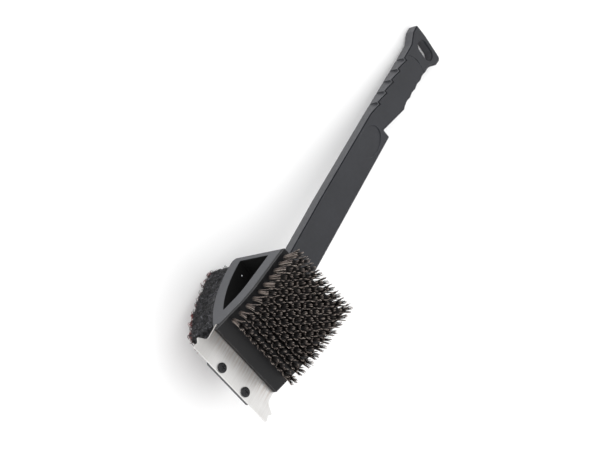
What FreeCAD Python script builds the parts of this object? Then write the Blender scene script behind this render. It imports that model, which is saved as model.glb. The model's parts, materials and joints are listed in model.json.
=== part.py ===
import FreeCAD, Part
import math
import os

# Grill cleaning brush, in millimetres, one STEP file for each piece.
#
# It is drawn in a drafting frame that suits its shape: X runs forward from the handle to the scraper, Y is
# across the brush, and Z is up through the bristles. X = 0 is the front edge of the head, and Z = 0 is the
# top of the scraper plate. The last lines lay the brush down on its pad and its hang end and write the files.

# ---------------------------------------------------------------- driving dimensions
# head: a wedge with a straight back, a bent bristle side and an arched pad side
head_length = 90.0
head_width = 87.6
bristle_back_height = 32.0
bristle_back_slope = 12.5
bristle_front_slope = 28.5
bristle_bend_radius = 80.0
pad_side_radius = 128.0
pad_side_centre_x = -84.0
pad_side_centre_z = 95.8
head_corner_radius = 5.0
ring_thickness = 3.2
ring_width_bristle_side = 12.5
ring_width_pad_side = 11.5
ring_width_back = 4.5
opening_corner_radius = 1.5
opening_tip_radius = 1.2
tunnel_wall = 2.6
nose_length = 20.0
core_width = 48.0
core_wall = 2.4
fit_gap = 0.3

# scraper and the tongue under it
plate_thickness = 1.5
plate_tuck = 5.0
plate_reach = 29.0
plate_neck = 13.0
ear_span = 108.0
ear_back = 19.0
ear_notch = 22.6
ear_notch_depth = 3.2
ear_notch_radius = 0.8
ear_taper = 1.4
ear_corner_radius = 1.0
plate_neck_radius = 6.0
tongue_width = 60.0
tongue_thickness = 5.0
tongue_reach = 28.4
tongue_corner_radius = 3.0
tongue_bevel = 1.0
scraper_screw_spacing = 33.8
scraper_screw_from_edge = 5.9
scraper_screw_diameter = 4.8
scraper_screw_head = 9.5
scraper_screw_head_height = 2.4
scraper_screw_head_round = 1.5
scraper_screw_short = 0.4

# bristle block and its tufts
block_lift = 4.3
block_seam = 0.5
block_back_lip = 1.8
block_front_lip = 10.0
block_front_overhang = 1.2
tufts_across = 9
tuft_rows = 10
tuft_pitch_across = 9.4
tuft_first_row = 13.0
tuft_last_row = 84.5
tuft_front_lean = 27.0
tuft_back_lean = -4.0
tuft_free_length = 19.5
tuft_straight_length = 1.0
tuft_root_diameter = 4.4
tuft_tip_diameter = 6.2
tuft_hole_depth = 7.0
tuft_hole_gap = 0.1
anchor_thickness = 0.5
anchor_height = 1.6

# scouring pad and the plate that carries it
pad_thickness = 26.0
pad_back_inset = 8.5
pad_step = 3.0
pad_front_angle = 38.0
past_front_angle = 60.0
hook_sheet_thickness = 1.2
pad_plate_thickness = 3.0
pad_rib_thickness = 1.8
rib_bite = 0.5

# handle
handle_length = 340.0
handle_width = 34.8
handle_half_thickness = 5.5
handle_floor = 2.4
handle_wall = 2.6
handle_edge_round = 1.2
shoulder_from_end = 127.0
shoulder_radius = 1.2
shoulder_step = 9.6
shoulder_flare = 0.7
notch_length = 39.0
notch_radius = 1.0
grip_half_width = 17.0
waist_half_width = 15.0
grip_tail_half_width = 12.7
beak_reach = 27.0
beak_reach_near = 3.2
beak_throat_from_end = 25.0
beak_throat_radius = 12.0
beak_heel_from_end = 14.0
beak_tip_from_end = 3.8
beak_radius = 4.0
end_bulge_y = -4.0
end_bulge_radius = 60.0
near_tip_length = 10.0
near_throat_from_end = 23.0
near_throat_radius = 10.0
near_bend_from_head = 95.0
near_bend_radius = 300.0
tooth_count = 5
tooth_pitch = 16.5
tooth_first_from_end = 44.0
tooth_depth_face = 3.2
tooth_depth_back = 0.6
tooth_ramp_bow = 0.42
scallop_count = 4
scallop_start = 4.0
scallop_pitch = 13.0
scallop_depth = 1.3
scallop_radius = 12.0
scallop_rise = 0.45
rim_width = 0.9
rim_drop = 1.0
cover_thickness = 2.7
cover_gap = 0.8
cover_bevel = 0.5
cover_least_corner = 0.1
near_tip_radius = rim_width + cover_gap + cover_bevel + cover_least_corner
hang_hole_length = 25.0
hang_hole_width = 14.5
hang_hole_from_end = 13.6
hang_hole_offset = 5.6
hang_hole_turn = 6.0
hang_hole_flat = 0.1
hang_collar = 2.2
thumb_length = 39.0
thumb_width = 26.0
thumb_from_end = 151.0
thumb_offset = 0.6
thumb_depth = 0.9
thumb_tilt = 1.2
tail_groove_radius = 22.0
tail_groove_width = 0.9
tail_groove_depth = 0.5
tail_groove_from_hole = 10.5
tail_groove_length = 7.5
tail_groove_offset = -1.0
tenon_length = 42.0
tenon_width = 28.0
tenon_bottom = -4.2
tenon_top = 3.4
tenon_root = 4.0
tenon_bevel = 1.0
front_block_length = 8.0
rib_thickness = 1.6
rib_pitch = 36.0
first_rib_from_head = 30.0
last_rib_from_end = 60.0

# self-tapping screws inside the head and the handle
screw_diameter = 3.0
screw_head_diameter = 6.0
screw_head_height = 2.0
screw_head_round = 0.8
screw_hole_gap = 0.25
boss_wall = 2.0
recess_width = 0.9
recess_length = 3.6
recess_depth = 1.1
block_screw_length = 13.5
block_screw_grip = 7.0
block_screw_inset = 5.5
block_screws_from_front = (72.0, 42.0)
neck_screw_length = 12.0
neck_screw_grip = 6.0
neck_screw_shares = (0.35, 0.75)
pad_screw_length = 8.5
pad_screw_inset = 7.0
pad_screw_angles = (4.0, 22.0)
pillar_root = 1.0
cover_screw_count = 4
cover_screw_from_head = 16.0
cover_screw_from_end = 38.0
cover_screw_sink = 0.3
cover_screw_skin = 1.0

# ---------------------------------------------------------------- values worked out from them
V = FreeCAD.Vector
Y_AXIS = V(0, 1, 0)
half_head = head_width / 2
inner_half_head = half_head - ring_thickness
far = 4 * handle_length
beyond = head_length / 2
overcut = 1.0
touching = 1e-6
handle_end_x = -head_length - handle_length
rim_z = handle_half_thickness - rim_drop
cover_bottom_z = handle_half_thickness - cover_thickness
pieces = {}


# ---------------------------------------------------------------- small helpers
def box(x0, x1, y0, y1, z0, z1):
    return Part.makeBox(x1 - x0, y1 - y0, z1 - z0, V(x0, y0, z0))


def cylinder(radius, base, axis, length):
    return Part.makeCylinder(radius, length, base, axis)


def fused(shapes):
    whole = shapes[0]
    if len(shapes) > 1:
        whole = whole.fuse(shapes[1:])
    return whole.removeSplitter()


def mirrored_pair(shape):
    return [shape, shape.mirror(V(0, 0, 0), Y_AXIS)]


def extruded_y(edges, y0, y1):
    """A closed outline in the XZ plane, drawn out from y0 to y1."""
    face = Part.Face(Part.Wire(Part.__sortEdges__(edges)))
    face.translate(V(0, y0, 0))
    return face.extrude(V(0, y1 - y0, 0))


def rounded_loop(corners):
    """Edges of a closed outline in the XY plane, from corners (x, y, radius) taken in order."""
    count = len(corners)
    trims = []
    for i in range(count):
        here = V(corners[i][0], corners[i][1], 0)
        before = V(corners[i - 1][0], corners[i - 1][1], 0)
        after = V(corners[(i + 1) % count][0], corners[(i + 1) % count][1], 0)
        to_before = (before - here).normalize()
        to_after = (after - here).normalize()
        radius = corners[i][2]
        if radius == 0:
            trims.append((here, None, here))
            continue
        half_angle = to_before.getAngle(to_after) / 2
        back_off = radius / math.tan(half_angle)
        bisector = (to_before + to_after).normalize()
        middle = here + bisector * (radius / math.sin(half_angle) - radius)
        trims.append((here + to_before * back_off, middle, here + to_after * back_off))
    edges = []
    for i in range(count):
        start, middle, end = trims[i]
        if middle is not None:
            edges.append(Part.Arc(start, middle, end).toShape())
        next_start = trims[(i + 1) % count][0]
        if end.distanceToPoint(next_start) > touching:
            edges.append(Part.LineSegment(end, next_start).toShape())
    return edges


def slab(edges, z0, z1):
    """A closed outline in the XY plane, drawn up from z0 to z1."""
    face = Part.Face(Part.Wire(edges))
    face.translate(V(0, 0, z0))
    return face.extrude(V(0, 0, z1 - z0))


def screw(seat, direction, length, diameter, head_diameter, head_height, head_round):
    """A pan-head screw. The head's underside is at seat, and the shank runs along direction."""
    direction = V(direction).normalize()
    shank = cylinder(diameter / 2, seat, direction, length - diameter / 2)
    point_base = seat + direction * (length - diameter / 2)
    point = Part.makeCone(diameter / 2, diameter / 8, diameter / 2, point_base, direction)
    head = cylinder(head_diameter / 2, seat - direction * head_height, direction, head_height)
    rim = [e for e in head.Edges if e.Closed and (e.CenterOfMass - seat).Length > head_height / 2]
    head = head.makeFillet(head_round, rim)
    body = fused([head, shank, point])
    slot_size = max(recess_length * head_diameter / screw_head_diameter, recess_width)
    for turn in (0, 90):
        slot = box(-recess_width / 2, recess_width / 2, -slot_size / 2, slot_size / 2, -far, recess_depth)
        slot.rotate(V(0, 0, 0), V(0, 0, 1), turn)
        slot.Placement = FreeCAD.Placement(
            seat - direction * head_height, FreeCAD.Rotation(V(0, 0, 1), direction)
        ).multiply(slot.Placement)
        body = body.cut(slot)
    return body


# ---------------------------------------------------------------- the head's wedge outline
def slope_direction(degrees):
    return V(math.cos(math.radians(degrees)), 0, -math.sin(math.radians(degrees)))


def outward(degrees):
    """The way out of the bristle side where it falls forward by this many degrees."""
    return V(math.sin(math.radians(degrees)), 0, math.cos(math.radians(degrees)))


def meeting_point(point_a, way_a, point_b, way_b):
    """Where two straight lines in the XZ plane meet."""
    cross = way_a.x * way_b.z - way_a.z * way_b.x
    gap = point_b - point_a
    return point_a + way_a * ((gap.x * way_b.z - gap.z * way_b.x) / cross)


def pad_side_point(x, radius):
    return V(x, 0, pad_side_centre_z - math.sqrt(radius**2 - (x - pad_side_centre_x) ** 2))


def bristle_side(inset):
    """The bristle side, moved inward by inset: its first line, its bend and its second line."""
    back_way = slope_direction(bristle_back_slope)
    front_way = slope_direction(bristle_front_slope)
    back_point = V(-head_length, 0, bristle_back_height) - outward(bristle_back_slope) * inset
    front_point = outward(bristle_front_slope) * -inset
    corner = meeting_point(back_point, back_way, front_point, front_way)
    half_turn = math.radians(bristle_front_slope - bristle_back_slope) / 2
    radius = bristle_bend_radius - inset
    trim = radius * math.tan(half_turn)
    bulge = outward((bristle_back_slope + bristle_front_slope) / 2)
    start = corner - back_way * trim
    end = corner + front_way * trim
    middle = corner - bulge * (radius / math.cos(half_turn) - radius)
    return back_point, back_way, start, middle, end, front_point, front_way


def wedge(bristle_inset, pad_inset, back_inset, y0, y1):
    """The head's solid wedge with each of its three sides moved inward, between two values of Y."""
    back_point, back_way, start, middle, end, front_point, front_way = bristle_side(bristle_inset)
    radius = pad_side_radius - pad_inset
    back_x = -head_length + back_inset
    top_back = back_point + back_way * ((back_x - back_point.x) / back_way.x)
    low_back = pad_side_point(back_x, radius)
    centre = V(pad_side_centre_x, 0, pad_side_centre_z)
    from_centre = front_point - centre
    along = from_centre.dot(front_way)
    run = -along + math.sqrt(along**2 - from_centre.dot(from_centre) + radius**2)
    tip = front_point + front_way * run
    low_middle = pad_side_point((low_back.x + tip.x) / 2, radius)
    edges = [
        Part.LineSegment(top_back, start).toShape(),
        Part.Arc(start, middle, end).toShape(),
        Part.LineSegment(end, tip).toShape(),
        Part.Arc(tip, low_middle, low_back).toShape(),
        Part.LineSegment(low_back, top_back).toShape(),
    ]
    return extruded_y(edges, y0, y1)


def arc_slab(inner_radius, outer_radius, back_x, front_angle, y0, y1):
    """A slab bent about the pad side's centre, from a flat back at back_x to a radial front."""
    inner_back = pad_side_point(back_x, inner_radius)
    outer_back = pad_side_point(back_x, outer_radius)
    inner_front = pad_arc_point(front_angle, inner_radius)
    outer_front = pad_arc_point(front_angle, outer_radius)
    inner_middle = pad_side_point((inner_back.x + inner_front.x) / 2, inner_radius)
    outer_middle = pad_side_point((outer_back.x + outer_front.x) / 2, outer_radius)
    edges = [
        Part.Arc(inner_back, inner_middle, inner_front).toShape(),
        Part.LineSegment(inner_front, outer_front).toShape(),
        Part.Arc(outer_front, outer_middle, outer_back).toShape(),
        Part.LineSegment(outer_back, inner_back).toShape(),
    ]
    return extruded_y(edges, y0, y1)


def rounded_at(solid, x, z, radius):
    """Rounds the one edge along Y that is nearest to (x, z)."""
    along_y = [e for e in solid.Edges if abs(e.Vertexes[0].X - e.Vertexes[-1].X) < touching]
    along_y = [e for e in along_y if abs(e.Vertexes[0].Z - e.Vertexes[-1].Z) < touching]
    nearest = min(along_y, key=lambda e: math.hypot(e.CenterOfMass.x - x, e.CenterOfMass.z - z))
    return solid.makeFillet(radius, [nearest])


def block_surface(distance):
    """A point of the bristle block's top, this far behind the head's front edge, and its height."""
    lifted = bristle_side(-block_lift)
    back_point, back_way, start, _, end, front_point, front_way = lifted
    x = -distance
    if x <= start.x:
        return back_point + back_way * ((x - back_point.x) / back_way.x)
    if x >= end.x:
        return front_point + front_way * ((x - front_point.x) / front_way.x)
    radius = bristle_bend_radius + block_lift
    centre = start - outward(bristle_back_slope) * radius
    return V(x, 0, centre.z + math.sqrt(radius**2 - (x - centre.x) ** 2))


# ---------------------------------------------------------------- where the fasteners go
opening_top = ring_width_bristle_side
opening_bottom = ring_width_pad_side
recess_floor_top = opening_top - tunnel_wall
recess_floor_bottom = opening_bottom - tunnel_wall
tongue_top = -plate_thickness
tongue_bottom = tongue_top - tongue_thickness
block_screw_y = core_width / 2 - block_screw_inset
block_screw_places = [(-x, s * block_screw_y) for x in block_screws_from_front for s in (-1, 1)]
neck_screw_places = [(-head_length + tenon_length * share, 0.0) for share in neck_screw_shares]
neck_screw_seat = tenon_bottom - neck_screw_grip
pad_screw_y = inner_half_head - pad_screw_inset
pad_screw_seat_radius = pad_side_radius - hook_sheet_thickness - screw_head_height - screw_hole_gap
scraper_screw_x = plate_reach - scraper_screw_from_edge
cover_screw_run = handle_length - cover_screw_from_head - cover_screw_from_end
cover_screw_x = [
    -head_length - cover_screw_from_head - cover_screw_run * i / (cover_screw_count - 1)
    for i in range(cover_screw_count)
]


def recess_floor_height(x):
    """Height of the tunnel's roof, which the bristle block's screws pull down on."""
    back_point, back_way, start, middle, end, front_point, front_way = bristle_side(recess_floor_top)
    if x <= start.x:
        return (back_point + back_way * ((x - back_point.x) / back_way.x)).z
    if x >= end.x:
        return (front_point + front_way * ((x - front_point.x) / front_way.x)).z
    return middle.z


def block_screw_seat(x):
    return recess_floor_height(x) - block_screw_grip


def pad_way(angle):
    """The way out of the pad side at this many degrees ahead of its lowest point."""
    return V(math.sin(math.radians(angle)), 0, -math.cos(math.radians(angle)))


def pad_arc_point(angle, radius, y=0.0):
    return V(pad_side_centre_x, y, pad_side_centre_z) + pad_way(angle) * radius


# ---------------------------------------------------------------- head frame
def head_opening(y0, y1):
    opening = wedge(opening_top, opening_bottom, ring_width_back, y0, y1)
    for x, z in ((-head_length, bristle_back_height), (-head_length, -bristle_back_height)):
        opening = rounded_at(opening, x, z, opening_corner_radius)
    return rounded_at(opening, 0, 0, opening_tip_radius)


def outer_head(y0, y1):
    return rounded_at(wedge(0, 0, 0, y0, y1), -head_length, -bristle_back_height, head_corner_radius)


def core_supports():
    """What stands inside the head's core: the handle's socket and the tubes that the screws run in."""
    wall = core_wall
    socket = box(
        -head_length, -head_length + tenon_length + fit_gap + wall,
        -tenon_width / 2 - fit_gap - wall, tenon_width / 2 + fit_gap + wall,
        tenon_bottom - fit_gap - wall, tenon_top + fit_gap + wall,
    )
    tube_radius = screw_head_diameter / 2 + fit_gap + wall
    tubes = [cylinder(tube_radius, V(x, y, -far), V(0, 0, 1), 2 * far) for x, y in block_screw_places]
    tubes += [cylinder(tube_radius, V(x, y, 0), V(0, 0, -1), far) for x, y in neck_screw_places]
    return [socket] + tubes


def block_seating(clearance):
    """The room above the tunnel's roof that the bristle block's underside fills, less a clearance."""
    reach = inner_half_head - clearance
    room = wedge(-block_lift / 2, 0, 0, -reach, reach)
    room = room.cut(wedge(recess_floor_top - clearance, -beyond, -beyond, -far, far))
    back_x = -head_length + block_back_lip + clearance
    return room.common(box(back_x, -block_front_lip - clearance, -far, far, -far, far))


def pad_plate_seating():
    """The room below the tunnel's floor that the pad plate fills."""
    back_x = -head_length + ring_width_back
    floor = pad_side_radius - recess_floor_bottom
    half = inner_half_head
    room = arc_slab(floor, pad_side_radius + beyond, back_x, past_front_angle, -half, half)
    return room.common(box(-far, -nose_length, -far, far, -far, far))


def make_head_frame():
    frame = outer_head(-half_head, half_head)
    frame = frame.cut(block_seating(0)).cut(pad_plate_seating())
    for side in mirrored_pair(head_opening(core_width / 2, half_head)):
        frame = frame.cut(side)
    core_y = core_width / 2 - core_wall
    hollow = wedge(opening_top, -overcut, ring_width_back, -core_y, core_y)
    hollow = hollow.common(box(-far, -nose_length - core_wall, -far, far, -far, far))
    for support in core_supports():
        hollow = hollow.cut(support)
    frame = frame.cut(hollow)
    half = tongue_width / 2
    tongue = box(-block_front_lip, tongue_reach, -half, half, tongue_bottom, tongue_top)
    corners = [e for e in tongue.Edges if e.BoundBox.ZLength > tongue_thickness / 2]
    tongue = tongue.makeFillet(tongue_corner_radius, [e for e in corners if e.CenterOfMass.x > 0])
    under = [e for e in tongue.Edges if abs(e.CenterOfMass.x - tongue_reach) < touching]
    under = [e for e in under if abs(e.CenterOfMass.z - tongue_bottom) < touching]
    tongue = tongue.makeChamfer(tongue_bevel, under)
    frame = fused([frame, tongue])
    plate_seat = box(-plate_tuck - fit_gap, far, -far, far, tongue_top, far)
    frame = frame.cut(plate_seat)
    # pillars that the pad plate's screws bite into
    pillars = []
    for angle in pad_screw_angles:
        base = pad_arc_point(angle, pad_side_radius - opening_bottom + pillar_root, pad_screw_y)
        height = opening_bottom - pillar_root - hook_sheet_thickness - pad_plate_thickness - fit_gap
        pillar = cylinder(screw_diameter / 2 + boss_wall, base, pad_way(angle), height)
        pillars += mirrored_pair(pillar)
    frame = fused([frame] + pillars)
    # socket for the handle's tenon
    socket = box(
        -far, -head_length + tenon_length + fit_gap,
        -tenon_width / 2 - fit_gap, tenon_width / 2 + fit_gap,
        tenon_bottom - fit_gap, tenon_top + fit_gap,
    )
    frame = frame.cut(socket)
    hole_radius = screw_diameter / 2 + screw_hole_gap
    head_radius = screw_head_diameter / 2 + fit_gap
    cuts = []
    for x, y in block_screw_places:
        seat = block_screw_seat(x)
        cuts.append(cylinder(hole_radius, V(x, y, seat - overcut), V(0, 0, 1), far))
        cuts.append(cylinder(head_radius, V(x, y, seat), V(0, 0, -1), far))
    for x, y in neck_screw_places:
        run = neck_screw_grip + 2 * overcut
        cuts.append(cylinder(hole_radius, V(x, y, tenon_bottom + overcut), V(0, 0, -1), run))
        cuts.append(cylinder(head_radius, V(x, y, neck_screw_seat), V(0, 0, -1), far))
    for angle in pad_screw_angles:
        for sign in (-1, 1):
            start = pad_arc_point(angle, pad_side_radius, sign * pad_screw_y)
            depth = pad_side_radius - pad_screw_seat_radius + pad_screw_length
            cuts.append(cylinder(screw_diameter / 2, start, pad_way(angle) * -1, depth))
    for sign in (-1, 1):
        start = V(scraper_screw_x, sign * scraper_screw_spacing / 2, tongue_bottom - overcut)
        cuts.append(cylinder(scraper_screw_diameter / 2, start, V(0, 0, 1), far))
    for cut in cuts:
        frame = frame.cut(cut)
    return frame.removeSplitter()


# ---------------------------------------------------------------- bristle block, tufts and their anchors
def tuft_rows_placed():
    """For each row: the middle of the row on the block's top, and the way its tufts point."""
    rows = []
    for row in range(tuft_rows):
        share = row / (tuft_rows - 1)
        base = block_surface(tuft_first_row + share * (tuft_last_row - tuft_first_row))
        lean = tuft_front_lean + share * (tuft_back_lean - tuft_front_lean)
        rows.append((base, outward(lean)))
    return rows


def tuft_y(index):
    return (index - (tufts_across - 1) / 2) * tuft_pitch_across


def make_bristle_block():
    skin = wedge(-block_lift, 0, 0, -half_head, half_head)
    skin = skin.cut(wedge(-block_seam, -beyond, -beyond, -far, far))
    skin = skin.common(box(-far, block_front_overhang, -far, far, -far, far))
    skin = skin.cut(box(-nose_length, far, -far, far, -far, fit_gap))
    block = fused([skin, block_seating(fit_gap)])
    for base, way in tuft_rows_placed():
        for index in range(tufts_across):
            mouth = V(base.x, tuft_y(index), base.z)
            hole_radius = tuft_root_diameter / 2 + tuft_hole_gap
            block = block.cut(cylinder(hole_radius, mouth + way * beyond, way * -1, tuft_hole_depth + beyond))
    for x, y in block_screw_places:
        seat = block_screw_seat(x)
        block = block.cut(cylinder(screw_diameter / 2, V(x, y, seat), V(0, 0, 1), block_screw_length))
    return block


def make_tuft(base, way, y):
    mouth = V(base.x, y, base.z)
    root = cylinder(tuft_root_diameter / 2, mouth - way * (tuft_hole_depth - anchor_height), way,
                    tuft_hole_depth - anchor_height + tuft_straight_length)
    flare = Part.makeCone(tuft_root_diameter / 2, tuft_tip_diameter / 2,
                          tuft_free_length - tuft_straight_length, mouth + way * tuft_straight_length, way)
    return fused([root, flare])


def make_anchor(base, way, y):
    floor = V(base.x, y, base.z) - way * tuft_hole_depth
    length = tuft_root_diameter - 2 * tuft_hole_gap
    strip = box(-length / 2, length / 2, -anchor_thickness / 2, anchor_thickness / 2, 0, anchor_height)
    strip.Placement = FreeCAD.Placement(floor, FreeCAD.Rotation(V(0, 0, 1), way))
    return strip


# ---------------------------------------------------------------- scouring pad and its plate
def make_scouring_pad():
    inner = pad_side_radius + fit_gap
    middle = inner + pad_thickness / 2
    outer = inner + pad_thickness
    back_x = -head_length + pad_back_inset
    upper = arc_slab(inner, middle, back_x, pad_front_angle, -half_head, half_head)
    lower = arc_slab(middle, outer, back_x + pad_step, pad_front_angle, -half_head, half_head)
    pad = fused([upper, lower])
    half = tongue_width / 2 + fit_gap
    tongue_space = box(-far, far, -half, half, tongue_bottom - fit_gap, far)
    plate_space = box(-plate_tuck - fit_gap, far, -far, far, tongue_top - fit_gap, far)
    return pad.cut(tongue_space).cut(plate_space)


pad_plate_front_angle = math.degrees(
    math.asin((-nose_length - fit_gap - pad_side_centre_x) / pad_side_radius)
)


def make_pad_plate():
    outer = pad_side_radius - hook_sheet_thickness
    inner = outer - pad_plate_thickness
    floor = pad_side_radius - recess_floor_bottom + fit_gap
    back_x = -head_length + ring_width_back + fit_gap
    reach = inner_half_head - fit_gap
    front_x = box(-far, -nose_length - fit_gap, -far, far, -far, far)
    plate = arc_slab(inner, outer, back_x, pad_plate_front_angle, -reach, reach).common(front_x)
    ribs = []
    for y in (-reach, -reach / 2, 0, reach / 2, reach - pad_rib_thickness):
        rib = arc_slab(floor, inner + rib_bite, back_x, pad_plate_front_angle, y, y + pad_rib_thickness)
        ribs.append(rib.common(front_x))
    plate = fused([plate] + ribs)
    for angle in pad_screw_angles:
        for sign in (-1, 1):
            y = sign * pad_screw_y
            way = pad_way(angle)
            above = pad_arc_point(angle, floor - overcut, y)
            seat = pad_arc_point(angle, pad_screw_seat_radius, y)
            hole = cylinder(screw_diameter / 2 + screw_hole_gap, above, way, far)
            pillar = cylinder(screw_diameter / 2 + boss_wall + fit_gap, above, way, inner - floor + overcut)
            head = cylinder(screw_head_diameter / 2 + screw_hole_gap, seat, way, far)
            plate = plate.cut(pillar).cut(hole).cut(head)
    return plate


def make_hook_sheet():
    outer = pad_side_radius
    inner = outer - hook_sheet_thickness
    back_x = -head_length + ring_width_back + fit_gap
    reach = inner_half_head - fit_gap
    front_x = box(-far, -nose_length - fit_gap, -far, far, -far, far)
    return arc_slab(inner, outer, back_x, pad_plate_front_angle, -reach, reach).common(front_x)


# ---------------------------------------------------------------- scraper
def scraper_corners():
    neck = half_head
    ear = ear_span / 2
    near_side = [
        (-plate_tuck, neck, 0),
        (plate_neck, neck, plate_neck_radius),
        (ear_back, ear, ear_corner_radius),
        (ear_notch, ear - ear_notch_depth, ear_notch_radius),
        (plate_reach, ear - ear_taper, ear_corner_radius),
    ]
    far_side = [(x, -y, r) for x, y, r in reversed(near_side)]
    return near_side + far_side


def make_scraper_plate():
    plate = slab(rounded_loop(scraper_corners()), -plate_thickness, 0)
    for sign in (-1, 1):
        base = V(scraper_screw_x, sign * scraper_screw_spacing / 2, -far)
        plate = plate.cut(cylinder(scraper_screw_diameter / 2 + screw_hole_gap, base, V(0, 0, 1), 2 * far))
    return plate


# ---------------------------------------------------------------- handle
def handle_x(from_head):
    return -head_length - from_head


def tooth_x(index):
    return handle_end_x + tooth_first_from_end + index * tooth_pitch


def grip_line_y(x):
    """The near side of the plain grip, which the finger steps are cut back from."""
    share = (x - tooth_x(0)) / (tooth_x(tooth_count) - tooth_x(0))
    return -grip_tail_half_width - share * (waist_half_width - grip_tail_half_width)


def finger_step_corners(index, depth):
    """One finger step seen from above: straight in by depth, then a bent ramp out toward the head."""
    x0 = tooth_x(index)
    middle = x0 + tooth_pitch / 2
    return [
        (x0, grip_line_y(x0), 0),
        (x0, grip_line_y(x0) + depth, 0),
        (middle, grip_line_y(middle) + depth * tooth_ramp_bow, 0),
    ]


def handle_corners(step_depth):
    """The handle's outline seen from above, with finger steps of this depth, or none at 0."""
    half = handle_width / 2
    shoulder_x = handle_end_x + shoulder_from_end
    notch_end_x = shoulder_x - notch_length
    corners = [
        (handle_x(0), -half, 0),
        (handle_x(0), half, 0),
        (shoulder_x, half + shoulder_flare, shoulder_radius),
        (shoulder_x, half + shoulder_flare - shoulder_step, notch_radius),
        (notch_end_x, half + shoulder_flare, notch_radius),
    ]
    for index in range(scallop_count + 1):
        cusp_x = notch_end_x - scallop_start - scallop_pitch * index
        cusp_y = grip_half_width + scallop_rise * index
        corners.append((cusp_x, cusp_y, 0))
        if index < scallop_count:
            hollow_y = cusp_y + scallop_rise / 2 - scallop_depth
            corners.append((cusp_x - scallop_pitch / 2, hollow_y, scallop_radius))
    last_cusp_y = grip_half_width + scallop_rise * scallop_count
    near_tip_y = -waist_half_width - beak_reach_near
    corners += [
        (handle_end_x + beak_throat_from_end, last_cusp_y, beak_throat_radius),
        (handle_end_x + beak_heel_from_end, beak_reach - overcut, beak_radius),
        (handle_end_x + beak_tip_from_end, beak_reach, beak_radius),
        (handle_end_x, end_bulge_y, end_bulge_radius),
        (handle_end_x, near_tip_y, near_tip_radius),
        (handle_end_x + near_tip_length, near_tip_y, near_throat_radius / 2),
        (handle_end_x + near_throat_from_end, -grip_tail_half_width, near_throat_radius),
    ]
    if step_depth > 0:
        for index in range(tooth_count):
            corners += finger_step_corners(index, step_depth)
    else:
        corners.append((tooth_x(0), -grip_tail_half_width, 0))
    corners.append((tooth_x(tooth_count), -waist_half_width, 0))
    corners.append((handle_x(near_bend_from_head), -half, near_bend_radius))
    return corners


def finger_step(index):
    """The wedge that one finger step cuts away: deep at the face, shallow at the back."""
    sections = []
    for z, depth in ((-handle_half_thickness, tooth_depth_back), (handle_half_thickness, tooth_depth_face)):
        inner = finger_step_corners(index, depth)
        start = V(inner[0][0], inner[0][1] - beyond, z)
        end_x = inner[0][0] + tooth_pitch
        points = [start] + [V(x, y, z) for x, y, _ in inner[1:]]
        points += [V(end_x, grip_line_y(end_x), z), V(end_x, grip_line_y(end_x) - beyond, z)]
        sections.append(Part.makePolygon(points + points[:1]))
    return Part.makeLoft(sections, True, True)


def hang_hole(grow, z0, z1):
    half_length = hang_hole_length / 2 + grow
    half_width = hang_hole_width / 2 + grow
    radius = half_width - hang_hole_flat / 2
    corners = [
        (-half_width, -half_length, radius),
        (half_width, -half_length, radius),
        (half_width, half_length, radius),
        (-half_width, half_length, radius),
    ]
    hole = slab(rounded_loop(corners), z0, z1)
    hole.rotate(V(0, 0, 0), V(0, 0, 1), -hang_hole_turn)
    hole.translate(V(handle_end_x + hang_hole_from_end, hang_hole_offset, 0))
    return hole


def handle_blank():
    """The handle's outside up to the rim, with rounded back edges and finger steps."""
    blank = slab(rounded_loop(handle_corners(0)), -handle_half_thickness, rim_z)
    back = [e for e in blank.Edges if abs(e.BoundBox.ZMax + handle_half_thickness) < touching]
    back = [e for e in back if e.CenterOfMass.x < handle_x(0) - touching]
    blank = blank.makeFillet(handle_edge_round, back)
    for index in range(tooth_count):
        blank = blank.cut(finger_step(index))
    return blank.removeSplitter()


def inset_slab(inset, z0, z1):
    """The handle's outline at its rim, moved inward, drawn up from z0 to z1."""
    rise = (rim_z + handle_half_thickness) / (2 * handle_half_thickness)
    depth = tooth_depth_back + rise * (tooth_depth_face - tooth_depth_back)
    outline = Part.Wire(rounded_loop(handle_corners(depth))).makeOffset2D(-inset, 2)
    return slab(outline.Edges, z0, z1)


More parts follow.
